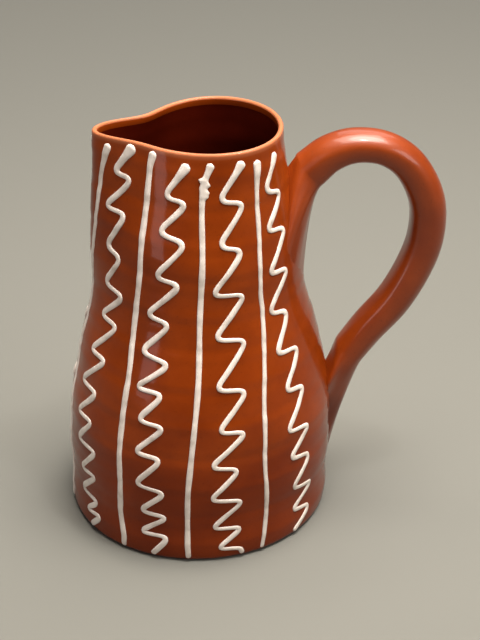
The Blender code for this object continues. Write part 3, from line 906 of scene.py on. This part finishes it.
def with_pale_lip(tree, base):
    """The base colour, giving way to the lip's paler colour, partly thin glaze and partly painted
    sheen, where the vessel's attribute says.
    """
    thin_and_sheen = tree.nodes.new("ShaderNodeAttribute")
    thin_and_sheen.attribute_name = "thin_glaze_and_sheen"
    lip = tree.nodes.new("ShaderNodeMix")
    lip.data_type = "RGBA"
    tree.links.new(thin_and_sheen.outputs["Fac"], lip.inputs["Factor"])
    tree.links.new(base, lip.inputs["A"])
    lip.inputs["B"].default_value = (*LIP_CLAY_AND_SHEEN, 1.0)
    return lip.outputs["Result"]


def clay_color(tree, coordinates, deep, bright):
    """Mottled, finely specked clay, painted shade below the belly's turn, partly painted sheen on
    the lip.
    """
    mottle = noise_node(tree, coordinates, scale=30.0, detail=4.0, roughness=0.55)
    color = ramp_node(tree, mottle.outputs["Fac"], ((0.32, deep), (0.70, bright)))
    speck = noise_node(tree, coordinates, scale=900.0, detail=2.0, roughness=0.6)
    specks = ramp_node(tree, speck.outputs["Fac"], ((0.62, (1, 1, 1)), (0.72, SPECK_TINT)))
    base = tinted(tree, color.outputs["Color"], specks.outputs["Color"], 0.5)
    # Below the belly's turn the colour is darkened by painted shade for the reflected dark ground.
    base = tinted(tree, base, belly_painted_shade(tree, coordinates), 1.0)
    return with_pale_lip(tree, base)


def uneven_surface(tree, coordinates):
    """Slow ripples of the glaze with a finer unevenness on top."""
    ripple = noise_node(tree, coordinates, scale=45.0, detail=2.0, roughness=0.4)
    peel = noise_node(tree, coordinates, scale=420.0, detail=2.0, roughness=0.5)
    slow = bump_node(tree, ripple.outputs["Fac"], strength=0.35, distance=0.0007)
    slow_normal = slow.outputs["Normal"]
    fine = bump_node(tree, peel.outputs["Fac"], strength=0.12, distance=0.0001, normal=slow_normal)
    return fine.outputs["Normal"]


def glazed_clay(name, deep, bright, sheen=0.05, coat_ior=1.24):
    """Red clay under a clear gloss glaze, very slightly uneven."""
    material, tree, shader = node_material(name)
    coordinates = object_coordinates(tree)
    tree.links.new(clay_color(tree, coordinates, deep, bright), shader.inputs["Base Color"])
    normal = uneven_surface(tree, coordinates)
    tree.links.new(normal, shader.inputs["Normal"])
    tree.links.new(normal, shader.inputs["Coat Normal"])
    shader.inputs["Roughness"].default_value = 0.4
    shader.inputs["Specular IOR Level"].default_value = sheen
    shader.inputs["Coat Weight"].default_value = 0.8
    shader.inputs["Coat Roughness"].default_value = 0.10
    shader.inputs["Coat IOR"].default_value = coat_ior
    return material


def bare_clay():
    """The unglazed underside: dry, grainy clay."""
    material, tree, shader = node_material("bare_clay")
    grain = noise_node(tree, object_coordinates(tree), scale=700.0, detail=5.0, roughness=0.65)
    deep, bright = BARE_CLAY
    color = ramp_node(tree, grain.outputs["Fac"], ((0.32, deep), (0.70, bright)))
    tree.links.new(color.outputs["Color"], shader.inputs["Base Color"])
    bump = bump_node(tree, grain.outputs["Fac"], strength=0.5, distance=0.0002)
    tree.links.new(bump.outputs["Normal"], shader.inputs["Normal"])
    shader.inputs["Roughness"].default_value = 0.85
    return material


def white_slip():
    """Off-white slip under the same clear glaze, a little uneven in tone."""
    material, tree, shader = node_material("white_slip_glazed")
    coordinates = object_coordinates(tree)
    tone = noise_node(tree, coordinates, scale=160.0, detail=3.0, roughness=0.5)
    deep, bright = SLIP_WHITE
    color = ramp_node(tree, tone.outputs["Fac"], ((0.25, deep), (0.50, bright)))
    tree.links.new(color.outputs["Color"], shader.inputs["Base Color"])
    lumps = noise_node(tree, coordinates, scale=600.0, detail=2.0, roughness=0.5)
    bump = bump_node(tree, lumps.outputs["Fac"], strength=0.2, distance=0.00012)
    tree.links.new(bump.outputs["Normal"], shader.inputs["Normal"])
    shader.inputs["Roughness"].default_value = 0.45
    shader.inputs["Coat Weight"].default_value = 0.5
    shader.inputs["Coat Roughness"].default_value = 0.16
    return material


# ---- Stage, light and camera ------------------------------------------------------------------

MIDDLE = (0.0, 0.0, 0.10)
WHITE = (1.0, 1.0, 1.0)
# Each soft light: name, place, what it points at, its two sides, power and colour.
SOFT_LIGHTS = (
    ("top_key", (0.14, 0.02, 0.85), (0.05, 0.0, 0.1), (0.6, 0.6), 10.5, (1.0, 0.93, 0.84)),
    ("top_spark", (0.17, -0.15, 0.79), (0.09, 0.0, 0.2), (0.05, 0.05), 1.0, WHITE),
    ("right_key", (1.15, -0.75, 0.85), MIDDLE, (0.6, 0.6), 6.6, (1.0, 0.96, 0.90)),
    ("left_fill", (-0.9, -1.1, 0.8), MIDDLE, (0.8, 0.8), 1.3, WHITE),
    ("left_strip", (-0.95, -0.75, 0.28), MIDDLE, (0.3, 0.5), 1.9, (1.0, 0.92, 0.94)),
    ("back_softbox", (0.3, 1.0, 1.10), MIDDLE, (1.0, 0.7), 4.0, WHITE),
)

CAMERA_AIM = (0.0225, -0.0007, 0.1026)
CAMERA_DISTANCE = 0.709
CAMERA_PITCH = math.radians(28.93)
CAMERA_TURN = math.radians(2.24)
CAMERA_SENSOR = 36.0
CAMERA_LENS = 77.0


def aim(thing, place, target):
    thing.location = place
    thing.rotation_euler = (Vector(target) - Vector(place)).to_track_quat("-Z", "Y").to_euler()


def lamp(name, kind, place, target, power, color):
    light = bpy.data.lights.new(name, kind)
    light.energy = power
    light.color = color
    holder = bpy.data.objects.new(name, light)
    bpy.context.scene.collection.objects.link(holder)
    aim(holder, place, target)
    return light


def make_stage():
    mesh = bpy.data.meshes.new("floor")
    reach = 3.0
    corners = [(-reach, -reach, 0), (reach, -reach, 0), (reach, reach, 0), (-reach, reach, 0)]
    mesh.from_pydata(corners, [], [(0, 1, 2, 3)])
    floor = bpy.data.objects.new("floor", mesh)
    bpy.context.scene.collection.objects.link(floor)
    material, _tree, shader = node_material("pale_floor")
    shader.inputs["Base Color"].default_value = (*FLOOR_COLOR, 1.0)
    shader.inputs["Roughness"].default_value = 0.9
    shader.inputs["Specular IOR Level"].default_value = 0.2
    mesh.materials.append(material)


def make_light():
    bpy.context.scene.view_settings.view_transform = "Standard"
    world = bpy.data.worlds.new("soft_studio")
    bpy.context.scene.world = world
    world.use_nodes = True
    background = world.node_tree.nodes["Background"]
    background.inputs["Color"].default_value = (1.0, 0.97, 0.92, 1.0)
    background.inputs["Strength"].default_value = 0.09
    sky = lamp("sky", "SUN", (0.25, -0.05, 1.5), MIDDLE, 4.0, (1.0, 0.95, 0.88))
    sky.angle = 0.6
    for name, place, target, size, power, color in SOFT_LIGHTS:
        light = lamp(name, "AREA", place, target, power, color)
        light.shape = "RECTANGLE"
        light.size, light.size_y = size


def make_camera():
    data = bpy.data.cameras.new("camera")
    data.sensor_width = CAMERA_SENSOR
    data.lens = CAMERA_LENS
    data.clip_start = 0.01
    camera = bpy.data.objects.new("camera", data)
    bpy.context.scene.collection.objects.link(camera)
    level = CAMERA_DISTANCE * math.cos(CAMERA_PITCH)
    place = (
        CAMERA_AIM[0] - level * math.sin(CAMERA_TURN),
        CAMERA_AIM[1] - level * math.cos(CAMERA_TURN),
        CAMERA_AIM[2] + CAMERA_DISTANCE * math.sin(CAMERA_PITCH),
    )
    aim(camera, place, CAMERA_AIM)
    bpy.context.scene.camera = camera


# ---- Putting it together ----------------------------------------------------------------------

def stand_for(piece, slot, *nodes):
    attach(piece, "root")
    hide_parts(*nodes)


def add_vessel(clay):
    vessel, outer_count = make_vessel()
    # The inside's material is darkened with painted shade.
    inside = glazed_clay("glazed_clay_inside_painted_shade", *INSIDE_CLAY_PAINTED_SHADE)
    coat_vessel(vessel, outer_count, (clay, inside, bare_clay()))
    stand_for(vessel, "glazed_clay", "vessel_body")


def add_handle(clay):
    handle = make_handle()
    handle.data.materials.append(clay)
    stand_for(handle, "glazed_clay", "handle")


def add_joint_beads(clay):
    for name, outline, pressed_side, node in (
        ("upper_joint_bead", UPPER_ROOT, 1, "upper_handle_slip"),
        ("lower_joint_bead", LOWER_ROOT, -1, "lower_handle_slip"),
    ):
        bead = make_joint_bead(name, outline, pressed_side)
        bead.data.materials.append(clay)
        stand_for(bead, "joining_slip", node)


def trail_paths():
    """The middle of every trail, by the name of its CAD node."""
    paths = {name: wave_path(turns) for name, turns in FRONT_WAVES.items()}
    paths.update((name, wave_path(back_wave(azimuth))) for name, azimuth in BACK_WAVES)
    paths.update((name, line_path(stops)) for name, stops in FRONT_LINES.items())
    paths.update((name, line_path(back_line(azimuth))) for name, azimuth in BACK_LINES)
    return paths


def add_trails(slip):
    for seed, (node, path) in enumerate(sorted(trail_paths().items())):
        usual_width = WAVE_WIDTH if node.startswith("wave") else LINE_WIDTH
        width = OTHER_WIDTHS.get(node, usual_width)
        rings = bead_rings(node, path, width, SEED_STEP * seed)
        bead = lofted(node.replace("trail", "bead"), rings)
        bead.data.materials.append(slip)
        stand_for(bead, "white_slip", node)


def main():
    make_stage()
    make_light()
    make_camera()
    outside = glazed_clay("glazed_clay_outside", *OUTSIDE_CLAY)
    softer = glazed_clay("glazed_clay_handle", *OUTSIDE_CLAY, HANDLE_SHEEN, HANDLE_COAT_IOR)
    add_vessel(outside)
    add_handle(softer)
    add_joint_beads(outside)
    add_trails(white_slip())


main()
